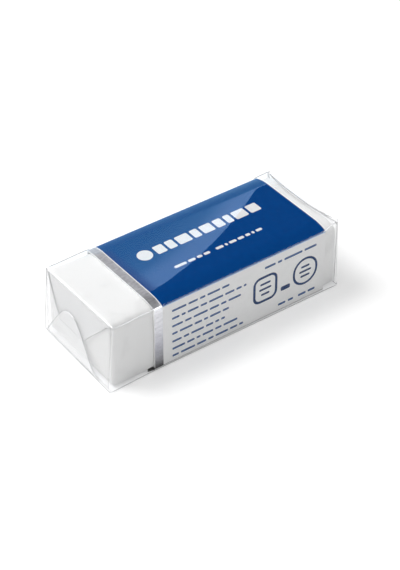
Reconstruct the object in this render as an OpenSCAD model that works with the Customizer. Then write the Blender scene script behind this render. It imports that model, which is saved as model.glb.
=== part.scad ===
// Block eraser in a printed card sleeve, sealed in a folded clear film wrap.
// Millimetres, +Z up, X along the block. The origin is under the middle, on the surface it lies on.

/* [Eraser block] */
// Length of the block
block_l = 46.9; // [35:0.1:70]
// Width of the block
block_w = 18.8; // [16:0.2:26]
// Height of the block
block_h = 12.4; // [9:0.2:18]
// Radius of the four long edges
long_edge_r = 1.4; // [0.6:0.1:3.5]
// Radius of the edges round each end face
end_edge_r = 0.7; // [0.3:0.1:3]

/* [Card sleeve] */
// Thickness of the card
card_t = 0.3; // [0.2:0.05:0.6]
// Clearance between the block and the card
sleeve_gap = 0.1; // [0.05:0.05:0.4]
// Bare block that shows past the banded end of the sleeve
bare_near = 8.3; // [3:0.1:14]
// Bare block that shows past the plain end of the sleeve
bare_far = 2.6; // [1:0.1:8]
// Inner radius of the card's folds
fold_inner_r = 0.2; // [0.05:0.05:0.5]
// Outer radius of the top panel where it bends down to its folds
bend_r = 8.4; // [5:0.2:12]
// How far the top panel bends down before it folds, in degrees
bend_angle = 21; // [10:1:30]
// Width of the glue flap under the sleeve, from the sleeve's back face
glue_flap_w = 12; // [8:0.5:14]
// How far the bottom panel stops short of the fold that the glue flap hangs on
glue_flap_inset = 0.3; // [0.1:0.1:1]
// Width of the foil band round the sleeve's end
band_w = 1.7; // [0.5:0.1:4]

/* [Film wrap] */
// Thickness of the film
film_t = 0.05; // [0.03:0.01:0.1]
// Clearance between the card and the film
film_gap = 0.05; // [0.02:0.01:0.2]
// Clearance between the block's end and the folded film
film_end_gap = 0.15; // [0.1:0.05:1]
// Width of the lengthwise heat-sealed lap under the wrap
film_lap_w = 5; // [2:0.5:10]
// How far the top and bottom flaps overlap the middle of each end
flap_overlap = 1.6; // [1.2:0.1:3]
// How far the flaps' free edges sit from the middle, towards the back
flap_lean = 2.2; // [-3:0.2:3]
// Radius of the end flaps' free corners
flap_tip_r = 1.3; // [0.4:0.1:2]

/* [Hidden] */
vinyl_white = [0.95, 0.95, 0.94];
card_white = [0.88, 0.88, 0.86];
ink_blue = [0.0, 0.23, 0.47];
foil_silver = [0.66, 0.66, 0.69];
film_clear = [0.92, 0.95, 0.97, 0.25];

// Heights, from the surface up: two film layers at the lap, then two card layers at the lap
sleeve_z = 2 * film_t;
block_z = sleeve_z + 2 * card_t;
sleeve_top = block_z + block_h + sleeve_gap + card_t;
sleeve_half_w = block_w / 2 + sleeve_gap + card_t;
fold_r = fold_inner_r + card_t;

// The sleeve's run along the block
sleeve_l = block_l - bare_near - bare_far;
sleeve_x = -block_l / 2 + bare_near;

// The film follows the sleeve's section, one clearance and one thickness further out
film_out = film_gap + film_t;
film_top = sleeve_top + film_out;
film_half_w = sleeve_half_w + film_out;

// Each end is closed by three layers: the side tucks, the top flap, and the bottom flap over them
end_layers = 3;
film_l = block_l + 2 * (film_end_gap + end_layers * film_t);

// Depth of the film that is folded in over each end, and the width that leaves a flap at its free edge
end_fold = film_top / 2 + flap_overlap;
flap_tip_w = 2 * max(film_half_w - end_fold, flap_tip_r);

// Neighbouring colours of the card run this far into each other
colour_lap = 0.01;

// The centre of the tight fold between a side panel and the bent top panel, on the +Y side
function top_fold_centre(half_w, top, fold, bend) =
    [half_w - fold, top - bend + (bend - fold) * cos(bend_angle)];

// The centre of the wide bend next to it
function bend_centre(half_w, top, fold, bend) =
    top_fold_centre(half_w, top, fold, bend) - (bend - fold) * [sin(bend_angle), cos(bend_angle)];

// The slice of the wide bend's circle that the card follows, from the flat of the top outwards
module bend_slice(centre, radius) {
    reach = 1.1 * radius / cos(bend_angle / 2);
    translate(centre) intersection() {
        circle(radius, $fn = 192);
        polygon([[0, 0],
            [0, reach],
            reach * [sin(bend_angle / 2), cos(bend_angle / 2)],
            reach * [sin(bend_angle), cos(bend_angle)]]);
    }
}

// The +Y half of a wrapped sheet's section in Y and Z, filled up to a line inset from its outer face.
// Below the belt it starts at inner_y, and above the belt a little past the middle.
module half_section(half_w, low, top, fold, bend, inset, belt, inner_y) {
    fold_c = top_fold_centre(half_w, top, fold, bend);
    bend_c = bend_centre(half_w, top, fold, bend);
    base_c = [half_w - fold, low + fold];
    wall_top = belt + fold / 4;
    translate([inner_y, low + inset]) square([base_c[0] - inner_y, wall_top - low - inset]);
    translate(base_c) square([fold - inset, wall_top - base_c[1]]);
    polygon([[-fold, belt],
        [half_w - inset, belt],
        [half_w - inset, fold_c[1]],
        fold_c,
        bend_c + bend / 2 * [sin(bend_angle / 2), cos(bend_angle / 2)],
        [bend_c[0], top - inset],
        [-fold, top - inset]]);
    translate(base_c) circle(fold - inset, $fn = 96);
    translate(fold_c) circle(fold - inset, $fn = 96);
    bend_slice(bend_c, bend - inset);
}

// The whole section with a level base
module even_section(half_w, low, top, fold, bend, inset) {
    for (side = [0, 1]) mirror([side, 0])
        half_section(half_w, low, top, fold, bend, inset, low + fold, -fold);
}

// The whole section of the sleeve. Underneath, it lies one card higher on the +Y side of step_y.
module stepped_section(inset, step_y) {
    belt = sleeve_z + fold_r + 2 * card_t;
    half_section(sleeve_half_w, sleeve_z + card_t, sleeve_top, fold_r, bend_r, inset, belt, step_y);
    mirror([1, 0])
        half_section(sleeve_half_w, sleeve_z, sleeve_top, fold_r, bend_r, inset, belt, -step_y);
}

// Extrudes a section drawn in Y and Z along X
module along_x(from, length) {
    translate([from, 0, 0]) rotate([90, 0, 90]) linear_extrude(length) children();
}

module rounded_rectangle(size, r) {
    square([size[0] - 2 * r, size[1]], center = true);
    square([size[0], size[1] - 2 * r], center = true);
    for (sx = [-1, 1], sy = [-1, 1])
        translate([sx * (size[0] / 2 - r), sy * (size[1] / 2 - r)]) circle(r, $fn = 64);
}

// The block's top is bent down at both edges too, so that the card lies on it with the same clearance
module block_section() {
    even_section(block_w / 2, block_z, block_z + block_h, long_edge_r,
        bend_r - card_t - sleeve_gap, 0);
}

module eraser_block() {
    color(vinyl_white) intersection() {
        along_x(-block_l / 2, block_l) block_section();
        translate([0, 0, block_z]) linear_extrude(block_h)
            rounded_rectangle([block_l, block_w], end_edge_r);
        translate([0, block_w / 2, block_z + block_h / 2]) rotate([90, 0, 0]) linear_extrude(block_w)
            rounded_rectangle([block_l, block_h], end_edge_r);
    }
}

// The card's two ends overlap underneath: the glue flap inside, the bottom panel outside
module sleeve_run(from, length) {
    along_x(from, length) difference() {
        stepped_section(0, sleeve_half_w - fold_r - glue_flap_inset);
        stepped_section(card_t, sleeve_half_w - glue_flap_w);
    }
}

// The printed top panel reaches down to the middle of its folds
print_z = top_fold_centre(sleeve_half_w, sleeve_top, fold_r, bend_r)[1]
    + fold_r * sin(45 - bend_angle / 2);

module above(z) {
    translate([sleeve_x, -sleeve_half_w, z]) cube([sleeve_l, 2 * sleeve_half_w, block_h]);
}

module card_sleeve() {
    color(foil_silver) sleeve_run(sleeve_x, band_w + colour_lap);
    color(ink_blue) intersection() {
        sleeve_run(sleeve_x + band_w, sleeve_l - band_w);
        above(print_z - colour_lap);
    }
    color(card_white) difference() {
        sleeve_run(sleeve_x + band_w, sleeve_l - band_w);
        above(print_z);
    }
}

module film_outline(inset = 0) {
    even_section(film_half_w, 0, film_top, fold_r + film_out, bend_r + film_out, inset);
}

// The tube of film, with the second layer of its sealed lap on the inside
module film_tube() {
    along_x(-film_l / 2, film_l) {
        difference() {
            film_outline();
            film_outline(film_t);
        }
        translate([-film_lap_w / 2, film_t / 2]) square([film_lap_w, 1.5 * film_t]);
    }
}

// Where an end flap's side meets its free edge, on side s
function flap_tip_y(s) = s * flap_tip_w / 2 + flap_lean;

// An end flap: as wide as the wrap at its fold, narrower at its free edge
module flap_outline() {
    hull() {
        translate([-film_half_w, 0]) square([2 * film_half_w, film_t]);
        for (s = [-1, 1])
            translate([flap_tip_y(s) - s * flap_tip_r * (sqrt(2) - 1), end_fold - flap_tip_r])
                circle(flap_tip_r, $fn = 32);
    }
}

// The film that the bottom flap doubles under itself at both of its corners
module gusset_outline() {
    for (s = [-1, 1])
        polygon([[s * film_half_w, 0], [flap_tip_y(s), 0], [flap_tip_y(s), end_fold - flap_tip_r]]);
}

module side_tuck_outline() {
    for (s = [-1, 1])
        translate([s > 0 ? flap_tip_y(1) : -film_half_w, 0])
            square([s > 0 ? film_half_w - flap_tip_y(1) : flap_tip_y(-1) + film_half_w, film_top]);
}

// Puts an outline that stands on the bottom fold on the top fold
module from_top() {
    translate([0, film_top]) mirror([0, 1]) children();
}

// One layer of the end, counted from the outside, trimmed to the wrap's outline
module end_layer(index) {
    along_x(film_l / 2 - (index + 1) * film_t, film_t) intersection() {
        children();
        film_outline();
    }
}

module folded_end() {
    end_layer(0) flap_outline();
    end_layer(1) {
        gusset_outline();
        from_top() flap_outline();
    }
    end_layer(2) side_tuck_outline();
}

module film_wrap() {
    color(film_clear) {
        film_tube();
        for (turn = [0, 1]) mirror([turn, 0, 0]) folded_end();
    }
}

eraser_block();
card_sleeve();
film_wrap();
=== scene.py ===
import math

import bpy
import numpy as np
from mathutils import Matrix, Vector, noise


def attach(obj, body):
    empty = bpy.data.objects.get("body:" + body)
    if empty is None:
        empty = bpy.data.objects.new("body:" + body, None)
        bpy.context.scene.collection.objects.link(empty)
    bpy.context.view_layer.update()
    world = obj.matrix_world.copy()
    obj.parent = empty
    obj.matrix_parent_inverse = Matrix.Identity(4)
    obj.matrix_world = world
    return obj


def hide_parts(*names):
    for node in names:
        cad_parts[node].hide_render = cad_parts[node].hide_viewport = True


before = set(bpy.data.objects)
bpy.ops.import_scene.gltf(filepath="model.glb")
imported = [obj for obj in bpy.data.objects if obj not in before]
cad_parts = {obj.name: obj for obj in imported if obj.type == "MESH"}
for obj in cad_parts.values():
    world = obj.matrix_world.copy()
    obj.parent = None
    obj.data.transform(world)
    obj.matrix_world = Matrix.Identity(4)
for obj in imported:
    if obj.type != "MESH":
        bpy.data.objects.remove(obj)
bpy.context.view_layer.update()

MM = 0.001

# Sizes in millimetres, as in part.scad. HW and HL are half a width and half a length.
# X runs from the near end, which has the foil band, to the far end, and Y from the front to the back.
BLOCK_L, BLOCK_W, BLOCK_H = 46.9, 18.8, 12.4
LONG_R, END_R = 1.4, 0.7
CARD_T, SLEEVE_GAP = 0.3, 0.1
BARE_NEAR, BARE_FAR = 8.3, 2.6
FOLD_R, BEND_R, BEND = 0.5, 8.4, math.radians(21)
FLAP_W, FLAP_INSET, BAND_W = 12.0, 0.3, 1.7
FILM_T, FILM_GAP = 0.05, 0.05
SLEEVE_Z = 2 * FILM_T
BLOCK_Z = SLEEVE_Z + 2 * CARD_T
BLOCK_MID = BLOCK_Z + BLOCK_H / 2
SLEEVE_TOP = BLOCK_Z + BLOCK_H + SLEEVE_GAP + CARD_T
SLEEVE_HW = BLOCK_W / 2 + SLEEVE_GAP + CARD_T
SLEEVE_X0 = -BLOCK_L / 2 + BARE_NEAR
SLEEVE_X1 = BLOCK_L / 2 - BARE_FAR
FILM_HW = SLEEVE_HW + FILM_GAP + FILM_T
FILM_TOP = SLEEVE_TOP + FILM_GAP + FILM_T
FILM_HL = 23.75
FILM_BEND_R = BEND_R + 0.1

# The lower folds of the sleeve and the lower edges of the block are crisper than those above
BASE_FOLD, BASE_R = 0.25, 0.3
# Radii of the block's upper back edge and of its far end
BACK_R, FAR_R = 0.7, 0.45
# The block is a hair shorter at its near end, to stay clear of the film, and a hair longer at its far end
NEAR_TRIM, FAR_REACH = 0.035, 0.04
# Width of the light line between the foil and the ink
LIGHT_LINE_W = 0.16
# The film's underside, the radii of its folds above and below along the sleeve and at the ends, how far
# its top bends down at the ends, and the radius from the tube into them
FILM_Z = 0.02
UPPER_FOLD, LOWER_FOLD, END_FOLD = 0.6, 0.35, 0.28
END_BEND = math.radians(2.0)
RIM_R = 0.3


def clamp(t):
    return min(max(t, 0.0), 1.0)


def smoothstep(t):
    t = clamp(t)
    return t * t * (3 - 2 * t)


def blend(a, b, t):
    return a * (1 - t) + b * t


# Sections in Y and Z

def arc(cy, cz, r, a0, a1, n):
    angles = [math.radians(a0 + (a1 - a0) * i / n) for i in range(n + 1)]
    return [(cy + r * math.cos(a), cz + r * math.sin(a)) for a in angles]


def mirror_y(points):
    return [(-y, z) for y, z in reversed(points)]


def spread(a, b, n):
    """n points between a and b, without either."""
    return [(a[0] + (b[0] - a[0]) * i / (n + 1), a[1] + (b[1] - a[1]) * i / (n + 1))
            for i in range(1, n + 1)]


def value_at(line, u):
    """The second coordinate of a line of points, where the first is u."""
    return float(np.interp(u, [p[0] for p in line], [p[1] for p in line]))


def back_bend(x):
    """The sleeve's top bends down less along its back edge, towards the banded end."""
    t = clamp((x - SLEEVE_X0) / (SLEEVE_X1 - SLEEVE_X0))
    return BEND * (0.68 + 0.32 * t)


def bareness(x):
    """0 under the sleeve, up to 1 on the bare block at the near end."""
    return smoothstep((SLEEVE_X0 - 0.2 - x) / 3.0)


def edge_centres(hw, top, fold, bend, angle):
    """Centres of the tight fold and of the wide bend next to it, on the +Y side."""
    fy, fz = hw - fold, top - bend + (bend - fold) * math.cos(angle)
    return (fy, fz), (fy - (bend - fold) * math.sin(angle), fz - (bend - fold) * math.cos(angle))


def top_edge(hw, top, fold, bend, angle, inset, n_fold, n_bend):
    """The two turns at the +Y top edge, from the side panel to the flat of the top."""
    (fy, fz), (by, bz) = edge_centres(hw, top, fold, bend, angle)
    turn = 90 - math.degrees(angle)
    tight = arc(fy, fz, fold - inset, 0, turn, n_fold)
    wide = arc(by, bz, bend - inset, turn, 90, n_bend)
    return tight + wide[1:]


# Mesh helpers

def mesh_object(name, verts_mm, faces, materials, face_materials=None, smooth=True):
    me = bpy.data.meshes.new(name)
    me.from_pydata([(x * MM, y * MM, z * MM) for x, y, z in verts_mm], [], faces)
    for m in materials:
        me.materials.append(m)
    if face_materials is not None:
        me.polygons.foreach_set("material_index", face_materials)
    me.polygons.foreach_set("use_smooth", [smooth] * len(me.polygons))
    me.update()
    ob = bpy.data.objects.new(name, me)
    bpy.context.scene.collection.objects.link(ob)
    return ob


def sharpen(ob, degrees):
    ob.data.set_sharp_from_angle(angle=math.radians(degrees))


def ring_faces(rings, n):
    """The faces between closed rings of n points each."""
    return [(i * n + j, i * n + (j + 1) % n, (i + 1) * n + (j + 1) % n, (i + 1) * n + j)
            for i in range(rings - 1) for j in range(n)]


# Shader nodes

def material(name):
    m = bpy.data.materials.new(name)
    m.use_nodes = True
    nt = m.node_tree
    nt.nodes.clear()
    return m, nt, nt.nodes.new("ShaderNodeOutputMaterial").inputs["Surface"]


def node(nt, kind, **values):
    """A new node with values on its own sockets."""
    n = nt.nodes.new(kind)
    for key, value in values.items():
        n.inputs[key].default_value = value
    return n


def fill(nt, socket, value):
    """Puts a number or colour on a socket, or links another socket to it."""
    if isinstance(value, (int, float, tuple)):
        socket.default_value = value
    else:
        nt.links.new(value, socket)


def maths(nt, operation, *values):
    n = nt.nodes.new("ShaderNodeMath")
    n.operation = operation
    for socket, value in zip(n.inputs, values):
        fill(nt, socket, value)
    return n.outputs[0]


def mixed(nt, blend_type, factor, a, b):
    n = nt.nodes.new("ShaderNodeMix")
    n.data_type = "RGBA"
    n.blend_type = blend_type
    for key, value in (("Factor", factor), ("A", a), ("B", b)):
        fill(nt, n.inputs[key], value)
    return n.outputs["Result"]


def grey(v):
    return (v, v, v)


def ramp(nt, factor, stops):
    """A colour ramp over (position, colour) stops."""
    r = nt.nodes.new("ShaderNodeValToRGB")
    elements = r.color_ramp.elements
    while len(elements) < len(stops):
        elements.new(0.5)
    for element, (position, colour) in zip(elements, stops):
        element.position = position
        element.color = (*colour, 1)
    nt.links.new(factor, r.inputs["Fac"])
    return r.outputs["Color"]


def range_of(nt, factor, low, high, upto=1.0):
    """Maps 0 to upto onto low to high."""
    r = nt.nodes.new("ShaderNodeMapRange")
    r.inputs["From Max"].default_value = upto
    r.inputs["To Min"].default_value = low
    r.inputs["To Max"].default_value = high
    nt.links.new(factor, r.inputs["Value"])
    return r.outputs["Result"]


def noise_tex(nt, scale, detail, rough, stretch=None):
    place = nt.nodes.new("ShaderNodeTexCoord").outputs["Object"]
    if stretch:
        mapping = nt.nodes.new("ShaderNodeMapping")
        mapping.inputs["Scale"].default_value = stretch
        nt.links.new(place, mapping.inputs["Vector"])
        place = mapping.outputs["Vector"]
    n = node(nt, "ShaderNodeTexNoise", Scale=scale, Detail=detail, Roughness=rough)
    nt.links.new(place, n.inputs["Vector"])
    return n.outputs["Fac"]


def grained(nt, shader, grain, rough, strength, distance):
    """Gives a shader its roughness and its bump from one grain. rough: lowest and highest."""
    nt.links.new(range_of(nt, grain, *rough), shader.inputs["Roughness"])
    bump = node(nt, "ShaderNodeBump", Strength=strength, Distance=distance)
    nt.links.new(grain, bump.inputs["Height"])
    nt.links.new(bump.outputs["Normal"], shader.inputs["Normal"])


# Materials

def vinyl_material():
    m, nt, surface = material("vinyl_white")
    p = node(nt, "ShaderNodeBsdfPrincipled", IOR=1.5)
    mottle = noise_tex(nt, 260, 3, 0.55)
    colour = ramp(nt, mottle, [
        (0.32, (0.875, 0.875, 0.868)), (0.46, (0.936, 0.936, 0.928)), (0.7, (0.948, 0.948, 0.94))])
    nt.links.new(colour, p.inputs["Base Color"])
    grained(nt, p, noise_tex(nt, 2600, 4, 0.6), (0.42, 0.62), 0.25, 0.00002)
    nt.links.new(p.outputs["BSDF"], surface)
    return m


def ink_material(name, dark, light, rough=(0.28, 0.4), ior=1.3):
    m, nt, surface = material(name)
    p = node(nt, "ShaderNodeBsdfPrincipled", IOR=ior)
    colour = ramp(nt, noise_tex(nt, 900, 3, 0.5), [(0.3, dark), (0.7, light)])
    nt.links.new(colour, p.inputs["Base Color"])
    grained(nt, p, noise_tex(nt, 6000, 2, 0.5), rough, 0.08, 0.00001)
    nt.links.new(p.outputs["BSDF"], surface)
    return m


# How bright the foil is from the surface up to the top of the sleeve: painted shade, darker towards the
# bottom, where the foil mirrors the floor in the object's shade
FOIL_TOP = 0.0135
FOIL_PAINTED_SHADE = [
    (0.0, grey(0.04)), (0.035, grey(0.06)), (0.09, (0.205, 0.205, 0.21)), (0.145, (0.39, 0.39, 0.40)),
    (0.25, (0.52, 0.52, 0.55)), (0.35, (0.61, 0.61, 0.65)), (0.46, (0.70, 0.70, 0.73)),
    (0.67, (0.85, 0.85, 0.86)), (0.80, grey(0.88)), (0.88, grey(1))]


def foil_material():
    m, nt, surface = material("foil_silver")
    p = node(nt, "ShaderNodeBsdfPrincipled", Metallic=1.0)
    grain = noise_tex(nt, 2600, 4, 0.65, (0.35, 1.0, 1.0))
    bright = ramp(nt, grain, [(0.3, (0.64, 0.64, 0.67)), (0.7, (0.95, 0.95, 0.98))])
    axes = nt.nodes.new("ShaderNodeSeparateXYZ")
    nt.links.new(nt.nodes.new("ShaderNodeTexCoord").outputs["Object"], axes.inputs[0])
    # The foil's colour darkens towards the bottom: painted shade
    foil_shade = ramp(nt, range_of(nt, axes.outputs["Z"], 0.0, 1.0, FOIL_TOP), FOIL_PAINTED_SHADE)
    nt.links.new(mixed(nt, "MULTIPLY", 1.0, bright, foil_shade), p.inputs["Base Color"])
    grained(nt, p, grain, (0.24, 0.38), 0.16, 0.00002)
    nt.links.new(p.outputs["BSDF"], surface)
    return m


FILM_TINT = (0.997, 0.998, 1.0, 1)
MILK_WHITE = (0.97, 0.975, 0.98, 1)


def film_material(name, haze, rough, face, glance=1.0, mirror=1.0, milk=MILK_WHITE):
    """Clear film: what is behind it, a trace of haze, and a mirror share that grows at a glancing angle.

    haze: share of the milky part. face and glance: mirror shares seen square on and at a glancing angle.
    """
    m, nt, surface = material(name)
    clear = node(nt, "ShaderNodeBsdfTransparent", Color=FILM_TINT)
    gloss = node(nt, "ShaderNodeBsdfGlossy", Color=(mirror, mirror, mirror, 1), Roughness=rough)
    milky = node(nt, "ShaderNodeBsdfDiffuse", Color=milk)
    angle = node(nt, "ShaderNodeLayerWeight", Blend=0.5)
    share = range_of(nt, maths(nt, "POWER", angle.outputs["Facing"], 5.0), face, glance)
    body = node(nt, "ShaderNodeMixShader", Fac=haze)
    nt.links.new(clear.outputs["BSDF"], body.inputs[1])
    nt.links.new(milky.outputs["BSDF"], body.inputs[2])
    film = nt.nodes.new("ShaderNodeMixShader")
    nt.links.new(share, film.inputs["Fac"])
    nt.links.new(body.outputs["Shader"], film.inputs[1])
    nt.links.new(gloss.outputs["BSDF"], film.inputs[2])
    nt.links.new(film.outputs["Shader"], surface)
    return m


M_VINYL = vinyl_material()
M_BLUE = ink_material("ink_blue", (0.0, 0.050, 0.222), (0.0, 0.056, 0.242), ior=1.1)
# Grey for the sleeve's lower front turn: painted shade
M_BASE_SHADE = ink_material("card_painted_shade", grey(0.26), (0.38, 0.38, 0.375), (0.5, 0.7))
M_WHITE = ink_material("card_white", (0.915, 0.915, 0.91), (0.945, 0.945, 0.94), (0.35, 0.5))
# A pale blue line on the sleeve's front fold: painted highlight
M_FOLD_HIGHLIGHT = ink_material("painted_fold_highlight", (0.36, 0.52, 0.80), (0.42, 0.58, 0.85))
M_INK_WHITE = ink_material("print_white", grey(0.80), grey(0.86))
M_INK_NAVY = ink_material("print_navy", (0.004, 0.040, 0.14), (0.008, 0.050, 0.17), ior=1.1)
M_INK_FINE = ink_material("print_fine", (0.015, 0.085, 0.25), (0.03, 0.10, 0.28))
M_FOIL = foil_material()
# Film over the sleeve, past the sleeve, its inner faces, the layers of the folded ends, and their fold lines
M_FILM = film_material("film_clear", haze=0.001, rough=0.0, face=0.03)
M_LOOSE = film_material("film_loose", haze=0.004, rough=0.12, face=0.03, mirror=0.85)
M_INNER = film_material("film_inner", haze=0.0, rough=0.1, face=0.002, glance=0.01)
# The tucked layers' grey milk is painted shade
M_TUCK = film_material("film_tuck_painted_shade", haze=0.12, rough=0.1, face=0.03, milk=(0.6, 0.6, 0.605, 1))
M_FLAP = film_material("film_flap", haze=0.02, rough=0.1, face=0.04, mirror=0.85)
M_TONGUE = film_material("film_tongue", haze=0.05, rough=0.2, face=0.36)
M_SEAM = film_material("film_seam", haze=0.6, rough=0.4, face=0.45, glance=0.7)
# Grey milk and a dimmed mirror for the lines beside folds, along the back and lower creases and on the far
# rims: painted shade
M_CREASE_SHADE = film_material("film_crease", haze=0.6, rough=0.4, face=0.2, glance=0.5, mirror=0.5,
                         milk=(0.5, 0.5, 0.51, 1))


# The block: rings along X, each a section that shrinks into the rounded ends

def block_section(x, shrink):
    hw, half_h = BLOCK_W / 2, BLOCK_H / 2
    bare = bareness(x)
    base = arc(hw - BASE_R, BLOCK_Z + BASE_R, BASE_R, -90, 0, 6)

    def side(bend, fold):
        edge = top_edge(hw, BLOCK_Z + BLOCK_H, fold, BEND_R - CARD_T - SLEEVE_GAP, bend, 0, 10, 6)
        return base + spread(base[-1], edge[0], 10) + edge

    # the bare block's top is flatter
    rear = side(back_bend(x) * (1 - 0.4 * bare), BACK_R)
    front = mirror_y(side(BEND * (1 - 0.55 * bare), LONG_R * (1 - 0.3 * bare)))
    ring = rear + spread(rear[-1], front[0], 26) + front
    ring += spread(front[-1], rear[0], 26)
    ky, kz = (hw - shrink) / hw, (half_h - shrink) / half_h
    return [(y * ky, BLOCK_MID + (z - BLOCK_MID) * kz) for y, z in ring]


# The block's sag: under the sleeve, how much more where it is bare, where it starts, and over what
# width and height it grows and fades
SAG, BARE_SAG, SAG_Y, SAG_RUN, SAG_H = 0.24, 0.2, -2.6, 5.0, 4.0
# The length past the sleeve in which the block's far end comes to follow the film's
FOLLOW_RUN = 2.4
# Depth of the block's unevenness, and how many of its waves there are to a millimetre
UNEVEN_DEPTH, UNEVEN_SCALE = 0.05, 0.16


def settle(x, y, z):
    """A point of the soft block, which sags over the single card and follows the film's far end."""
    sag = SAG + BARE_SAG * bareness(x)
    z -= sag * smoothstep((SAG_Y - y) / SAG_RUN) * (1 - smoothstep((z - BLOCK_Z) / SAG_H))
    if x > SLEEVE_X1:
        x += (pull(1, y, z)[0] - end_dip(y, z)) * smoothstep((x - SLEEVE_X1) / FOLLOW_RUN)
    return (x, y, z)


def uneven(x, y, z):
    """A point of the block moved by the slight unevenness of a cut and tumbled block, always inwards."""
    depth = abs(UNEVEN_DEPTH * noise.noise(Vector((x, y, z)) * UNEVEN_SCALE))
    outward = Vector((x * 0.2, y, z - BLOCK_MID)).normalized()
    return (x, y - outward.y * depth, z - outward.z * depth)


def end_stations(half, radius, steps=8):
    """Pairs of x and shrink, from an end face back to where its rounding starts."""
    angles = [math.radians(90 - 90 * i / steps) for i in range(steps + 1)]
    return [(half - radius + radius * math.sin(a), radius - radius * math.cos(a)) for a in angles]


def make_block():
    near = end_stations(BLOCK_L / 2 - NEAR_TRIM, END_R)
    far = end_stations(BLOCK_L / 2 + FAR_REACH, FAR_R)
    inner = np.linspace(-BLOCK_L / 2 + END_R, BLOCK_L / 2 - END_R, 48)[1:-1]
    rings = [(-x, s) for x, s in near] + [(x, 0.0) for x in inner] + far[::-1]
    verts = [(x, y, z) for x, s in rings for y, z in block_section(x, s)]
    n = len(verts) // len(rings)
    faces = ring_faces(len(rings), n)
    # end faces: the ring shrinks towards its middle
    for is_far, start in ((False, 0), (True, len(verts) - n)):
        rim = verts[start:start + n]
        prev = list(range(start, start + n))
        for k in (0.9, 0.8, 0.7, 0.6, 0.4, 0.2):
            cur = list(range(len(verts), len(verts) + n))
            verts += [(x, y * k, BLOCK_MID + (z - BLOCK_MID) * k) for x, y, z in rim]
            for j in range(n):
                m = (j + 1) % n
                face = (prev[j], cur[j], cur[m], prev[m])
                faces.append(face[::-1] if is_far else face)
            prev = cur
        faces.append(tuple(prev) if is_far else tuple(prev[::-1]))
    return mesh_object("eraser_vinyl", [uneven(*settle(*v)) for v in verts], faces, [M_VINYL])


# The sleeve: one sheet along a path, with its thickness, cut into colour zones

# The inner face is a hair thinner, so that the two layers underneath share no face
CARD_INSET = CARD_T - 0.004
BASE_STEPS, TURN_STEPS, WALL_STEPS, TOP_STEPS = 20, 8, 16, 30
FOLD_STEPS, BEND_STEPS = 8, 12


def base_turn(low, inset):
    """The turn under the +Y side panel, whose inner face stays almost square."""
    r = max(BASE_FOLD - inset, 0.02)
    return arc(SLEEVE_HW - inset - r, low + inset + r, r, 0, -90, TURN_STEPS)


def sleeve_path(x, inset):
    """One face of the card at x: its points in Y and Z, and the first and last row of the printed top."""
    def upper(bend):
        return top_edge(SLEEVE_HW, SLEEVE_TOP, FOLD_R, BEND_R, bend, inset, FOLD_STEPS, BEND_STEPS)[::-1]

    start = (SLEEVE_HW - BASE_FOLD - FLAP_INSET, SLEEVE_Z + inset)
    front_base = mirror_y(base_turn(SLEEVE_Z, inset))
    pts = [start] + spread(start, front_base[0], BASE_STEPS) + front_base
    front, rear = mirror_y(upper(BEND)), upper(back_bend(x))
    pts += spread(pts[-1], front[0], WALL_STEPS)
    first = len(pts) + FOLD_STEPS // 2
    pts += front + spread(front[-1], rear[0], TOP_STEPS) + rear
    last = len(pts) - 1 - FOLD_STEPS // 2
    back_base = base_turn(SLEEVE_Z + CARD_T, inset)
    pts += spread(pts[-1], back_base[0], WALL_STEPS) + back_base
    end = (SLEEVE_HW - FLAP_W, SLEEVE_Z + CARD_T + inset)
    return pts + spread(pts[-1], end, BASE_STEPS) + [end], first, last


def make_sleeve():
    ink_x = SLEEVE_X0 + BAND_W
    line_x = ink_x - LIGHT_LINE_W
    xs = [SLEEVE_X0, SLEEVE_X0 + BAND_W / 2, line_x, ink_x] + list(np.linspace(ink_x, SLEEVE_X1, 20)[1:])
    verts, faces, mats = [], [], []
    for x in xs:
        outer, first, last = sleeve_path(x, 0.0)
        verts += [(x, y, z) for y, z in outer + sleeve_path(x, CARD_INSET)[0]]
    n = len(outer)
    blue, white, foil, base_shade, edge = range(5)
    shaded_rows = range(1 + BASE_STEPS, 1 + BASE_STEPS + TURN_STEPS)

    def zone(x, row):
        """Foil, a light line, then ink on top; a pale line on the front fold, which is a painted highlight;
        grey on the lower front turn, which is painted shade.
        """
        on_top = first <= row < last
        if x < ink_x:
            return white if on_top and x >= line_x else foil
        if on_top:
            return blue
        # The pale line on the front fold: painted highlight
        if first - 2 <= row < first:
            return edge
        # The lower front turn is grey: painted shade
        return base_shade if row in shaded_rows else white

    for i in range(len(xs) - 1):
        a, b = 2 * i * n, 2 * (i + 1) * n
        for j in range(n - 1):
            faces.append((a + j, b + j, b + j + 1, a + j + 1))
            mats.append(zone(xs[i], j))
            faces.append((a + n + j, a + n + j + 1, b + n + j + 1, b + n + j))
            mats.append(white)
        for j in (0, n - 1):
            face = (a + j, a + n + j, b + n + j, b + j)
            faces.append(face if j == 0 else face[::-1])
            mats.append(white)
    for i in (0, len(xs) - 1):
        a = 2 * i * n
        for j in range(n - 1):
            face = (a + j, a + j + 1, a + n + j + 1, a + n + j)
            faces.append(face if i == 0 else face[::-1])
            mats.append(white)
    ob = mesh_object("sleeve_card", verts, faces, [M_BLUE, M_WHITE, M_FOIL, M_BASE_SHADE, M_FOLD_HIGHLIGHT], mats)
    sharpen(ob, 50)
    return ob


# The outline of a dark foil sliver, painted shade in the gap under the sleeve's near end: X from the sleeve's
# end, and Y
SHADE_NOTCH = [(-1.35, -9.5), (-0.5, -9.68), (0.02, -9.74), (0.02, -8.6), (-0.6, -8.9), (-1.2, -9.3)]


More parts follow.
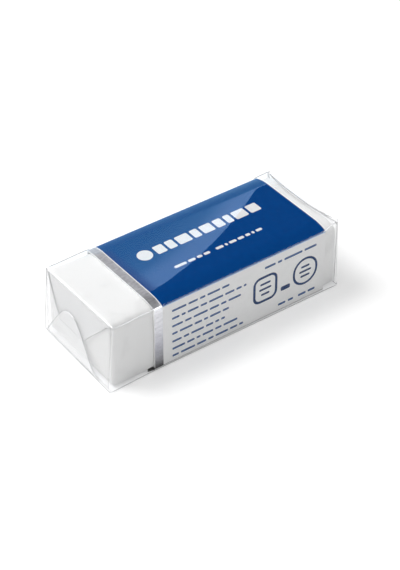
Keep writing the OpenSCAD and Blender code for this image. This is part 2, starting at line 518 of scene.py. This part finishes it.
def make_shade_notch():
    """A dark foil sliver under the block at the front, just past the sleeve's near end: painted shade in the
    gap under the sleeve.
    """
    n = len(SHADE_NOTCH)
    verts = [(SLEEVE_X0 + x, y, z) for z in (SLEEVE_Z + 0.02, SLEEVE_Z + CARD_T) for x, y in SHADE_NOTCH]
    faces = [tuple(range(n))[::-1], tuple(range(n, 2 * n))]
    faces += [(i, (i + 1) % n, n + (i + 1) % n, n + i) for i in range(n)]
    ob = mesh_object("painted_shade_notch", verts, faces, [M_FOIL])
    sharpen(ob, 40)
    return ob


# Plain print: flat shapes that start just under the card's face and end just over it

PRINT_UNDER, PRINT_OVER = -0.01, 0.012


def rounded_outline(u, v, w, h, r, steps=6):
    """The outline of a w x h rectangle round (u, v), with corners of radius r."""
    pts = []
    for cx, cy, start in ((w / 2 - r, h / 2 - r, 0), (-w / 2 + r, h / 2 - r, 90),
                          (-w / 2 + r, -h / 2 + r, 180), (w / 2 - r, -h / 2 + r, 270)):
        for i in range(steps + 1):
            a = math.radians(start + 90 * i / steps)
            pts.append((u + (cx + r * math.cos(a)), v + (cy + r * math.sin(a))))
    return pts


class Print:
    """Collects closed shapes on one plane of the sleeve. to3d maps (u, v, height) to a point."""

    def __init__(self, to3d):
        self.to3d, self.verts, self.faces = to3d, [], []

    def solid(self, loops):
        """loops: one outline, or an outer and an inner outline with as many points."""
        base, n, k = len(self.verts), len(loops[0]), len(loops)
        for height in (PRINT_UNDER, PRINT_OVER):
            for loop in loops:
                self.verts += [self.to3d(u, v, height) for u, v in loop]
        low, high = base, base + k * n
        for i in range(n):
            j = (i + 1) % n
            self.faces.append((low + i, low + j, high + j, high + i))
            if k == 2:
                self.faces.append((low + n + j, low + n + i, high + n + i, high + n + j))
                self.faces.append((high + i, high + j, high + n + j, high + n + i))
                self.faces.append((low + j, low + i, low + n + i, low + n + j))
        if k == 1:
            self.faces.append(tuple(range(high, high + n)))
            self.faces.append(tuple(range(high - 1, low - 1, -1)))

    def bar(self, u, v, w, h, r):
        r = min(r, w / 2 - 1e-3, h / 2 - 1e-3)
        self.solid([rounded_outline(u, v, w, h, r)])

    def row(self, u, v, widths, h, r, gap, space=0.9):
        """Bars side by side from u on. A width of 0 is a space between two groups."""
        for w in widths:
            if w:
                self.bar(u + w / 2, v, w, h, r)
            u += (w + gap) if w else space

    def frame(self, u, v, w, h, r, line):
        self.solid([rounded_outline(u, v, w, h, r),
                    rounded_outline(u, v, w - 2 * line, h - 2 * line, max(r - line, 0.05))])

    def build(self, name, mat):
        return mesh_object(name, self.verts, self.faces, [mat], smooth=False)


def make_print_top():
    p = Print(lambda u, v, h: (u, v, SLEEVE_TOP + h))
    p.bar(-8.4, 2.35, 2.8, 2.8, 1.399)
    p.row(-6.3, 2.3, (1.9, 1.6, 2.6, 1.5, 2.3, 1.7, 1.3, 2.6, 2.2), 2.25, 0.3, 0.52)
    p.row(-6.3, -3.3, (2.4, 1.4, 1.0, 1.2, 0, 1.5, 0.5, 1.4, 1.2, 0.9, 0.5, 1.2), 0.62, 0.2, 0.42)
    return p.build("print_top", M_INK_WHITE)


# The fine rows on the front: the height and length of each, and where it starts in the cycle of bar widths
SIDE_ROWS = [(10.95, 11.9, 7), (9.3, 15.4, 3), (7.65, 14.9, 5), (6.05, 12.2, 1), (4.4, 10.9, 8),
             (2.85, 14.4, 2), (1.35, 15.6, 6)]
SIDE_X, SIDE_GAP, SIDE_R = -11.6, 0.45, 0.17
BAR_WIDTHS = (1.9, 1.1, 2.6, 1.5, 0.8, 2.2, 1.3, 2.9)


def make_print_side():
    def on_front(u, v, height):
        return (u, -SLEEVE_HW - height, v)

    rows = Print(on_front)
    for z, length, i in SIDE_ROWS:
        x, end = SIDE_X, SIDE_X + length
        while x < end - 0.5:
            w = min(BAR_WIDTHS[i % len(BAR_WIDTHS)], end - x)
            rows.bar(x + w / 2, z, w, 0.42, SIDE_R)
            x += w + SIDE_GAP
            i += 1
    # words beside the rows: start and width
    for z, words in ((10.9, ((7.7, 2.3), (10.5, 0.9), (11.9, 3.9), (16.3, 2.6))),
                     (1.5, ((10.8, 1.6), (13.0, 1.1), (15.2, 1.7), (17.4, 1.5)))):
        for x, w in words:
            rows.bar(x + w / 2, z, w, 0.45, SIDE_R)
    marks = Print(on_front)
    marks.frame(7.9, 6.5, 5.2, 5.6, 1.5, 0.5)
    marks.frame(16.6, 6.3, 5.4, 5.8, 2.69, 0.45)
    # bars inside each frame: height and width
    for x, bars in ((7.9, ((7.6, 2.2), (6.5, 2.6), (5.4, 1.8))),
                    (16.6, ((7.3, 1.8), (6.3, 2.6), (5.3, 2.0)))):
        for z, w in bars:
            marks.bar(x, z, w, 0.4, 0.18)
    marks.bar(12.3, 4.7, 2.0, 0.9, 0.3)
    return rows.build("print_side", M_INK_FINE), marks.build("print_marks", M_INK_NAVY)


# The film: a tube that hugs the sleeve and squares up towards its ends, and three folded layers at each end

def squareness(x):
    """0 where the film hugs the sleeve, up to 1 at the ends, where it is folded square."""
    lap = 0.3
    near = (SLEEVE_X0 + lap - x) / (SLEEVE_X0 + lap + FILM_HL - RIM_R)
    far = (x - SLEEVE_X1 + lap) / (FILM_HL - RIM_R - SLEEVE_X1 + lap)
    return 1 - math.sqrt(1 - clamp(max(near, far)))


def film_turn(x, bend):
    """Radius of the film's upper folds at x, and the angle that its top bends down to them."""
    e = squareness(x)
    return blend(UPPER_FOLD, END_FOLD, e), blend(bend, END_BEND, e)


def fold_line(x, side):
    """The outermost point of the film's upper fold at x, on the front (-1) or the back (1)."""
    fold, angle = film_turn(x, back_bend(x) if side > 0 else BEND)
    (fy, fz), _ = edge_centres(FILM_HW, FILM_TOP, fold, FILM_BEND_R, angle)
    reach = 0.707 * fold
    return side * (fy + reach), fz + reach


def skirt(x, y, z):
    """How far the film's lower front edge stands out from the sleeve, more towards the far end."""
    reach = 0.08 + 0.30 * smoothstep((x - SLEEVE_X0) / (FILM_HL - SLEEVE_X0))
    return reach * max(0.0, 1 - z / 0.7) * smoothstep((-y - 9.0) / 0.9)


def film_ring(x):
    """Section of the film tube at x, with the same number of points everywhere."""
    base_fold = blend(LOWER_FOLD, END_FOLD, squareness(x))
    base = arc(FILM_HW - base_fold, FILM_Z + base_fold, base_fold, -90, 0, 8)

    def side(bend):
        fold, angle = film_turn(x, bend)
        edge = top_edge(FILM_HW, FILM_TOP, fold, FILM_BEND_R, angle, 0, 8, 12)
        return base + spread(base[-1], edge[0], 22) + edge

    rear, front = side(back_bend(x)), mirror_y(side(BEND))
    ring = rear + spread(rear[-1], front[0], 50) + front
    ring += spread(front[-1], rear[0], 30)
    return [(y - skirt(x, y, z), z) for y, z in ring]


def sheet(name, grid, thick, mat, loop=False):
    """A closed thin sheet on a grid of points (rows x columns), thickened away from its outer face."""
    outer = np.asarray(grid, float)
    rows, cols = outer.shape[:2]
    if loop:
        du = np.roll(outer, -1, 1) - np.roll(outer, 1, 1)
    else:
        du = np.gradient(outer, axis=1)
    normals = np.cross(du, np.gradient(outer, axis=0))
    normals /= np.maximum(np.linalg.norm(normals, axis=2, keepdims=True), 1e-9)
    inner = outer - normals * thick
    verts = [tuple(v) for v in outer.reshape(-1, 3)] + [tuple(v) for v in inner.reshape(-1, 3)]
    off = rows * cols
    steps = cols if loop else cols - 1
    faces = []
    for i in range(rows - 1):
        for j in range(steps):
            k = (j + 1) % cols
            a, b, c, d = i * cols + j, i * cols + k, (i + 1) * cols + k, (i + 1) * cols + j
            faces.append((a, b, c, d))
            faces.append((off + a, off + d, off + c, off + b))
    last_row = (rows - 1) * cols
    for j in range(steps):
        k = (j + 1) % cols
        faces.append((k, j, off + j, off + k))
        faces.append((last_row + j, last_row + k, off + last_row + k, off + last_row + j))
    if not loop:
        for i in range(rows - 1):
            a, b = i * cols, (i + 1) * cols
            faces.append((a, b, off + b, off + a))
            a, b = a + cols - 1, b + cols - 1
            faces.append((b, a, off + a, off + b))
    is_inner = [1 if min(face) >= off else 0 for face in faces]
    return mesh_object(name, verts, faces, [mat, M_INNER], is_inner)


# How far the film's corners are pulled from those of a true box, at the near end (-1) and the far end (1):
# (front -1 or back 1, bottom 0 or top 1) -> (dx, dy, dz)
PULL = {
    -1: {(-1, 1): (0.22, -0.40, -0.2), (-1, 0): (-0.77, -0.22, 0.0),
         (1, 1): (0.17, -0.45, 0.0), (1, 0): (-0.3, 0.3, 0.2)},
    1: {(-1, 1): (0.12, 0.40, 0.36), (-1, 0): (0.10, -0.03, 0.0),
        (1, 1): (-0.2, -0.45, 0.0), (1, 0): (0.0, 0.0, 0.2)},
}


def pull(end, y, z):
    """How far the film is pulled at an end, between the pulls of its four corners."""
    v = clamp((y + FILM_HW) / (2 * FILM_HW))
    w = clamp(z / FILM_TOP)
    c = PULL[end]
    return [(1 - v) * (1 - w) * c[(-1, 0)][k] + (1 - v) * w * c[(-1, 1)][k]
            + v * (1 - w) * c[(1, 0)][k] + v * w * c[(1, 1)][k] for k in range(3)]


def end_dip(y, z):
    """How far the far end sinks in under the pull of the folds, most in the middle of its top edge."""
    return 0.62 * max(0.0, 1 - (y / FILM_HW) ** 2) * smoothstep((z - 9.5) / 4.0)


def tube_point(x, y, z):
    """A point of the tube with the pull of the end that it is nearer to."""
    lap = 0.2
    if x > 0:
        share = smoothstep((x - SLEEVE_X1 + lap) / (FILM_HL - SLEEVE_X1))
        dx, dy, dz = pull(1, y, z)
        x -= end_dip(y, z) * share
    else:
        share = smoothstep((SLEEVE_X0 + lap - x) / (SLEEVE_X0 + FILM_HL))
        dx, dy, dz = pull(-1, y, z)
    return (x + dx * share, y + dy * share, z + dz * share)


def film_rim(end):
    """The rows of the tube that turn round into an end, and two more on its face."""
    rows = []
    for i in range(1, 7):
        a = math.radians(90 * i / 6)
        rows.append((FILM_HL - RIM_R + RIM_R * math.sin(a), RIM_R * (1 - math.cos(a))))
    rows += [(FILM_HL, RIM_R + 0.12), (FILM_HL, RIM_R + 0.25)]
    mid, ring = FILM_TOP / 2, film_ring(end * FILM_HL)
    out = []
    for x, inset in rows:
        ky, kz = (FILM_HW - inset) / FILM_HW, (mid - inset) / mid
        out.append([tube_point(end * x, y * ky, mid + (z - mid) * kz) for y, z in ring])
    return out


def make_film_tube():
    grid = film_rim(-1)[::-1]
    for x in np.concatenate([
            np.linspace(-FILM_HL + RIM_R, SLEEVE_X0 + 1, 28),
            np.linspace(SLEEVE_X0 + 1, SLEEVE_X1 - 1, 40)[1:],
            np.linspace(SLEEVE_X1 - 1, FILM_HL - RIM_R, 16)[1:]]):
        grid.append([tube_point(x, y, z) for y, z in film_ring(x)])
    grid += film_rim(1)
    ob = sheet("film_tube", grid, FILM_T, M_FILM, loop=True)
    ob.data.materials.append(M_LOOSE)
    for face in ob.data.polygons:
        if face.material_index == 0 and not SLEEVE_X0 < face.center.x / MM < SLEEVE_X1:
            face.material_index = 2
    return ob


def bead(points, width, sides=8):
    """A thin raised bead along a line of points, narrower towards both ends."""
    line = [Vector(p) for p in points]
    last = len(line) - 1
    verts = []
    for i, p in enumerate(line):
        along = (line[min(i + 1, last)] - line[max(i - 1, 0)]).normalized()
        a = along.orthogonal().normalized()
        b = along.cross(a)
        w = width * min(1.0, 0.35 + min(i, last - i) * 0.3)
        for k in range(sides):
            turn = 2 * math.pi * k / sides
            verts.append(tuple(p + (a * math.cos(turn) + b * math.sin(turn)) * w / 2))
    faces = ring_faces(len(line), sides)
    faces.append(tuple(range(sides))[::-1])
    faces.append(tuple(range(last * sides, len(line) * sides)))
    return verts, faces


def beads(name, lines, width, mat):
    verts, faces = [], []
    for line in lines:
        line_verts, line_faces = bead(line, width)
        base = len(verts)
        verts += line_verts
        faces += [tuple(i + base for i in face) for face in line_faces]
    return mesh_object(name, verts, faces, [mat])


# An end's fold lines as (z, y) points: the two sides of the bottom flap's tongue, of the top flap, and of
# the back tuck, which ends at the film's side
TONGUE_BACK = [(0.3, 9.6), (2.8, 7.9), (5.9, 5.7), (7.2, 4.75), (8.1, 3.8), (8.38, 3.0), (8.46, 2.3)]
TONGUE_FRONT = [(0.3, -6.6), (0.6, -5.9), (1.2, -4.8), (2.7, -3.4), (5.2, -1.75), (6.7, -0.65),
                (7.9, 0.4), (8.38, 1.3), (8.46, 2.0)]
TOP_BACK = [(5.2, 5.4), (5.9, 5.75), (7.7, 6.8), (10.5, 8.1), (12.9, 9.0), (13.3, 9.4)]
TOP_FRONT = [(5.2, -1.6), (7.6, -3.7), (10.8, -6.8), (12.3, -8.3), (13.2, -9.3), (13.3, -9.5)]
TUCK_FRONT = [(0.3, 9.3), (2.8, 7.7), (5.2, 6.0), (5.9, 5.6), (7.7, 6.6), (10.5, 7.9), (12.9, 8.8),
              (13.3, 9.2)]
END_LOW, END_HIGH, END_SIDE = 0.3, 13.3, 9.55
TONGUE_TIP, TOP_FLAP_TIP = 8.44, 5.2
FRONT_SIDE, BACK_SIDE = ([(END_LOW, y), (END_HIGH, y)] for y in (-END_SIDE, END_SIDE))
# Depths under the end's outer face
TONGUE_DEPTH, TOP_DEPTH, BACK_TUCK_DEPTH, TUCKS_DEPTH = 0.0, 0.1, 0.15, 0.2
# The shade beside a fold's bright edge: how far beside it and how much deeper
SHADE_SHIFT, SHADE_DEPTH = 0.13, 0.02


def end_point(y, z, end, depth):
    x = end * (FILM_HL - depth) + pull(end, y, z)[0]
    return (x - end_dip(y, z) if end > 0 else x, y, z)


def flap(name, front, back, z0, z1, end, depth, mat, rows=30, cols=24):
    """One folded layer across an end, between its two side lines."""
    grid = []
    for i in range(rows + 1):
        z = z0 + (z1 - z0) * i / rows
        ya, yb = value_at(front, z), value_at(back, z)
        row = [end_point(ya + (yb - ya) * j / cols, z, end, depth) for j in range(cols + 1)]
        grid.append(row if end > 0 else row[::-1])
    return sheet(name, grid, FILM_T * 0.8, mat)


def end_line(points, end, depth, shift=0.0, step=0.5):
    """A line of (z, y) points on an end, moved by shift in Y, with points at most a step apart."""
    line = [(z, y + shift) for z, y in points]
    fine = line[:1]
    for a, b in zip(line, line[1:]):
        n = max(1, int(math.ceil(math.dist(a, b) / step)))
        fine += spread(a, b, n - 1) + [b]
    return [end_point(y, z, end, depth) for z, y in fine]


def make_end(end, name):
    shade_depth, top_shade_depth = TONGUE_DEPTH + SHADE_DEPTH, TOP_DEPTH + SHADE_DEPTH
    return [
        flap(name + "_tucks", FRONT_SIDE, BACK_SIDE, END_LOW, END_HIGH, end, TUCKS_DEPTH, M_TUCK),
        flap(name + "_top_flap", TOP_FRONT, TOP_BACK, TOP_FLAP_TIP, END_HIGH, end, TOP_DEPTH, M_FLAP),
        flap(name + "_back_tuck", TUCK_FRONT, BACK_SIDE, END_LOW, END_HIGH, end, BACK_TUCK_DEPTH, M_TONGUE),
        flap(name + "_bottom_flap", TONGUE_FRONT, TONGUE_BACK, END_LOW, TONGUE_TIP, end, TONGUE_DEPTH,
             M_TONGUE),
        beads(name + "_fold_edges", [
            end_line(TONGUE_BACK + TONGUE_FRONT[::-1], end, TONGUE_DEPTH),
            end_line(TOP_FRONT, end, TOP_DEPTH),
            end_line(TOP_BACK, end, TOP_DEPTH)], 0.10 if end < 0 else 0.05, M_SEAM),
        beads(name + "_fold_shades", [
            end_line(TONGUE_FRONT[::-1], end, shade_depth, -SHADE_SHIFT),
            end_line(TONGUE_BACK, end, shade_depth, SHADE_SHIFT),
            end_line(TOP_FRONT, end, top_shade_depth, -SHADE_SHIFT),
            end_line(TOP_BACK, end, top_shade_depth, SHADE_SHIFT)], 0.05, M_CREASE_SHADE),
    ]


def long_creases(side):
    """The tube's upper long folds past the sleeve, at both ends."""
    lines = []
    for x0, x1 in ((-FILM_HL + 0.3, SLEEVE_X0 + 0.5), (FILM_HL - 0.3, SLEEVE_X1 - 0.5)):
        xs = [x0 + (x1 - x0) * i / 24 for i in range(25)]
        lines.append([tube_point(x, *fold_line(x, side)) for x in xs])
    return lines


def rim_creases(lit):
    """The rims of both ends, in unbroken runs: the lit front and top, or the shaded bottom and back."""
    mid, shrink = FILM_TOP / 2, 0.992
    lines = []
    for end in (-1, 1):
        ring = film_ring(end * FILM_HL)
        start = min(range(len(ring)), key=lambda i: abs(ring[i][0] + FILM_HW) + abs(ring[i][1] - 1.0))
        run = []
        for y, z in ring[start:] + ring[:start + 1]:
            if (z > 1.0 and y < 9.3) != lit:
                continue
            p = tube_point(end * (FILM_HL - 0.08), y * shrink, mid + (z - mid) * shrink)
            if run and math.dist(run[-1], p) > 3:
                lines.append(run)
                run = []
            run.append(p)
        lines.append(run)
    return [line for line in lines if len(line) > 3]


def far_top_creases():
    """Two shallow bows across the film's top at the far end."""
    lines = []
    for depth in (0.35, 0.75):
        line = []
        for y in np.linspace(-8.9, 8.9, 49):
            x = FILM_HL - 0.45 - depth * (1 - (y / 9.0) ** 2)
            top = sorted(p for p in film_ring(x) if p[1] > FILM_TOP - 2.0 and abs(p[0]) < FILM_HW - 0.1)
            line.append(tube_point(x, y, value_at(top, y)))
        lines.append(line)
    return lines


def base_crease():
    """The film's lower front edge, where it is folded under."""
    line = []
    for i in range(121):
        x = -FILM_HL + 0.2 + (2 * FILM_HL - 0.4) * i / 120
        y, z = min(film_ring(x), key=lambda p: p[0] + 0.6 * p[1])
        line.append(tube_point(x, y - 0.01, z - 0.02))
    return line


def make_creases():
    """Beads along the tube's creases, bright in front and on top, and grey elsewhere, where the grey is
    painted shade.
    """
    return [beads("film_creases", long_creases(-1) + rim_creases(True), 0.14, M_SEAM),
            beads("film_rim_shades", rim_creases(False) + far_top_creases(), 0.09, M_CREASE_SHADE),
            beads("film_back_creases", long_creases(1), 0.13, M_CREASE_SHADE),
            beads("film_base_edge", [base_crease()], 0.11, M_CREASE_SHADE)]


block = make_block()
sleeve = make_sleeve()
shade_notch = make_shade_notch()
print_top = make_print_top()
print_side, print_marks = make_print_side()
film = [make_film_tube()] + make_end(-1, "film_near") + make_end(1, "film_far") + make_creases()

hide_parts("eraser_block")
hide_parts("card_sleeve")
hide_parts("film_wrap")
for ob in [block, sleeve, shade_notch, print_top, print_side, print_marks] + film:
    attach(ob, "root")


# Stage, light and camera

FLOOR_SIZE, FLOOR_Z, FLOOR_GREY = 6.0, -0.00002, 0.84
# What the floor gives off, to the camera and to mirrors alone, so that it is white there
FLOOR_TO_CAMERA, FLOOR_TO_MIRRORS = 0.30, 0.25


def make_floor():
    h = FLOOR_SIZE / 2
    me = bpy.data.meshes.new("floor")
    me.from_pydata([(-h, -h, 0), (h, -h, 0), (h, h, 0), (-h, h, 0)], [], [(0, 1, 2, 3)])
    ob = bpy.data.objects.new("floor", me)
    ob.location = (0, 0, FLOOR_Z)
    bpy.context.scene.collection.objects.link(ob)
    m, nt, surface = material("floor_white")
    diffuse = node(nt, "ShaderNodeBsdfDiffuse", Color=(*grey(FLOOR_GREY), 1))
    glow = node(nt, "ShaderNodeEmission", Color=(1, 1, 1, 1))
    rays = nt.nodes.new("ShaderNodeLightPath").outputs
    strength = maths(nt, "ADD", maths(nt, "MULTIPLY", rays["Is Camera Ray"], FLOOR_TO_CAMERA),
                     maths(nt, "MULTIPLY", rays["Is Glossy Ray"], FLOOR_TO_MIRRORS))
    nt.links.new(strength, glow.inputs["Strength"])
    both = nt.nodes.new("ShaderNodeAddShader")
    nt.links.new(diffuse.outputs[0], both.inputs[0])
    nt.links.new(glow.outputs[0], both.inputs[1])
    nt.links.new(both.outputs[0], surface)
    me.materials.append(m)
    return ob


# The sky's plain light, and how much more of it comes from the left and the front
SKY, SKY_TILT, SKY_FROM = 0.62, 0.07, (-0.7, -0.9, 0.0)

# The softbox that glossy surfaces mirror, in ray directions: across its long edge, along it, and across
# its short edge, past which it is dimmer and neutral. The long edge is slightly bowed.
BOX_ACROSS = (-0.3135, 0.7653, -0.5622)
BOX_ALONG = (0.8202, -0.0801, -0.5664)
BOX_SHORT = (0.7966, 0.0347, -0.6036)
BOX_BOW, BOX_START = 2.88, -0.0023
BOX_LEVEL = 4.9
# Its colour from just outside the long edge inwards: as the film mirrors it, past its short edge, and as
# what lies under the film mirrors it
BOX_SOFT = [(0.0, grey(0)), (0.098, grey(0)), (0.102, (0.407, 0.674, 1.0)), (0.17, (0.40, 0.66, 0.98)),
            (0.23, (0.19, 0.403, 0.56)), (0.35, (0.117, 0.282, 0.392)), (1.0, (0.10, 0.22, 0.31))]
BOX_DIM = [(0.0, grey(0)), (0.098, grey(0)), (0.102, grey(0.19)), (1.0, grey(0.19))]
BOX_UNDER = [(0.0, grey(0.028)), (0.08, grey(0.039)), (0.14, (0.125, 0.125, 0.128)),
             (1.0, (0.134, 0.134, 0.137))]
# The dark flag round the softbox: its middle in X, its edges to the sides, and its edge in front
FLAG_X = 0.466
FLAG_SIDES = [(0.0, grey(1)), (0.16, grey(1)), (0.24, grey(0)), (1.0, grey(0))]
FLAG_FRONT = [(0.0, grey(0)), (0.10, grey(0)), (0.30, grey(1)), (1.0, grey(1))]
STUDIO_WHITE = (0.8, 0.8, 0.82, 1)
# Two small bright spots that draw the creases of the film
GLINTS = [(0.466, -0.62, 0.63), (-0.62, 0.63, 0.47)]
GLINT_SPOT = [(0.0, grey(0)), (0.93, grey(0)), (0.98, grey(1)), (1.0, grey(1))]
GLINT_LEVEL = 3.0


def make_world():
    world = bpy.data.worlds.new("studio")
    bpy.context.scene.world = world
    world.use_nodes = True
    nt = world.node_tree
    nt.nodes.clear()
    direction = nt.nodes.new("ShaderNodeTexCoord").outputs["Generated"]
    rays = nt.nodes.new("ShaderNodeLightPath").outputs

    def vector_maths(operation, *values, scale=None):
        n = nt.nodes.new("ShaderNodeVectorMath")
        n.operation = operation
        for socket, value in zip(n.inputs, values):
            fill(nt, socket, value)
        if scale is not None:
            n.inputs["Scale"].default_value = scale
        return n.outputs["Value" if operation == "DOT_PRODUCT" else "Vector"]

    def towards(axis):
        """How far the ray points along an axis."""
        return vector_maths("DOT_PRODUCT", direction, axis)

    # what mirrors see: the softbox, a dark flag round it, a white studio everywhere else, and the glints
    along = towards(BOX_ALONG)
    bow = maths(nt, "MULTIPLY_ADD", maths(nt, "MULTIPLY", along, along), BOX_BOW, BOX_START)
    inside = maths(nt, "SUBTRACT", towards(BOX_ACROSS), bow)
    place = maths(nt, "MULTIPLY_ADD", inside, 10.0, 0.1)
    within_short = ramp(nt, maths(nt, "MULTIPLY_ADD", towards(BOX_SHORT), 50.0, 0.5),
                        [(0.0, grey(0)), (0.5, grey(0)), (0.75, grey(1)), (1.0, grey(1))])
    on_film = mixed(nt, "MIX", within_short, ramp(nt, place, BOX_DIM), ramp(nt, place, BOX_SOFT))
    under_film = maths(nt, "GREATER_THAN", rays["Transparent Depth"], 0.5)
    box = mixed(nt, "MIX", under_film, on_film, ramp(nt, place, BOX_UNDER))
    beside = maths(nt, "ABSOLUTE", maths(nt, "SUBTRACT", towards((1, 0, 0)), FLAG_X))
    behind = maths(nt, "ADD", towards((0, 1, 0)), 0.3)
    flag = maths(nt, "MULTIPLY", ramp(nt, beside, FLAG_SIDES), ramp(nt, behind, FLAG_FRONT))
    studio = mixed(nt, "MIX", flag, STUDIO_WHITE, vector_maths("SCALE", box, scale=BOX_LEVEL))
    spots = [ramp(nt, towards(tuple(Vector(glint).normalized())), GLINT_SPOT) for glint in GLINTS]
    glints = vector_maths("SCALE", vector_maths("ADD", *spots), scale=GLINT_LEVEL)
    mirrored = nt.nodes.new("ShaderNodeBackground")
    nt.links.new(vector_maths("ADD", studio, glints), mirrored.inputs["Color"])

    # what everything else sees: plain sky, and white where the camera looks past the object
    seen = maths(nt, "MAXIMUM", rays["Is Camera Ray"], rays["Is Transmission Ray"])
    sky = maths(nt, "MULTIPLY_ADD", towards(SKY_FROM), SKY_TILT, SKY)
    strength = maths(nt, "ADD", seen, maths(nt, "MULTIPLY", maths(nt, "SUBTRACT", 1.0, seen), sky))
    plain = nt.nodes.new("ShaderNodeBackground")
    nt.links.new(strength, plain.inputs["Strength"])

    both = nt.nodes.new("ShaderNodeMixShader")
    nt.links.new(rays["Is Glossy Ray"], both.inputs["Fac"])
    nt.links.new(plain.outputs[0], both.inputs[1])
    nt.links.new(mirrored.outputs[0], both.inputs[2])
    nt.links.new(both.outputs[0], nt.nodes.new("ShaderNodeOutputWorld").inputs["Surface"])


# The one lamp, above and behind the object, towards its near end
KEY_PLACE, KEY_TARGET, KEY_SIZE, KEY_POWER = (-0.23, 0.25, 0.49), (0, 0, 0.006), 0.3, 2.35


def make_key_light():
    light = bpy.data.lights.new("key", "AREA")
    light.energy = KEY_POWER
    light.size = KEY_SIZE
    ob = bpy.data.objects.new("key", light)
    ob.location = KEY_PLACE
    ob.rotation_euler = (Vector(KEY_TARGET) - Vector(KEY_PLACE)).to_track_quat("-Z", "Y").to_euler()
    bpy.context.scene.collection.objects.link(ob)


# The camera that was fitted to the photograph: its angles, its distance from its target, the target in
# millimetres, and its focal length in pixels of an image 570 high
CAM_AZ, CAM_EL, CAM_DIST = math.radians(-36.513), math.radians(38.391), 0.3235
CAM_TARGET = (-0.464, -2.458, 6.5)
FOCAL_PX, IMAGE_H, SENSOR = 1900.5, 570, 36


def make_camera():
    to_camera = Vector((math.sin(CAM_AZ) * math.cos(CAM_EL), -math.cos(CAM_AZ) * math.cos(CAM_EL),
                        math.sin(CAM_EL)))
    cam = bpy.data.cameras.new("camera")
    cam.lens = FOCAL_PX / IMAGE_H * SENSOR
    cam.sensor_width = SENSOR
    cam.clip_start = 0.01
    cam.clip_end = 20
    ob = bpy.data.objects.new("camera", cam)
    ob.location = Vector(CAM_TARGET) * MM + to_camera * CAM_DIST
    ob.rotation_euler = to_camera.to_track_quat("Z", "Y").to_euler()
    bpy.context.scene.collection.objects.link(ob)
    bpy.context.scene.camera = ob


floor = make_floor()
make_world()
make_key_light()
make_camera()

bpy.context.scene.view_settings.view_transform = "Standard"
# a ray passes many layers of film
bpy.context.scene.cycles.transparent_max_bounces = 32
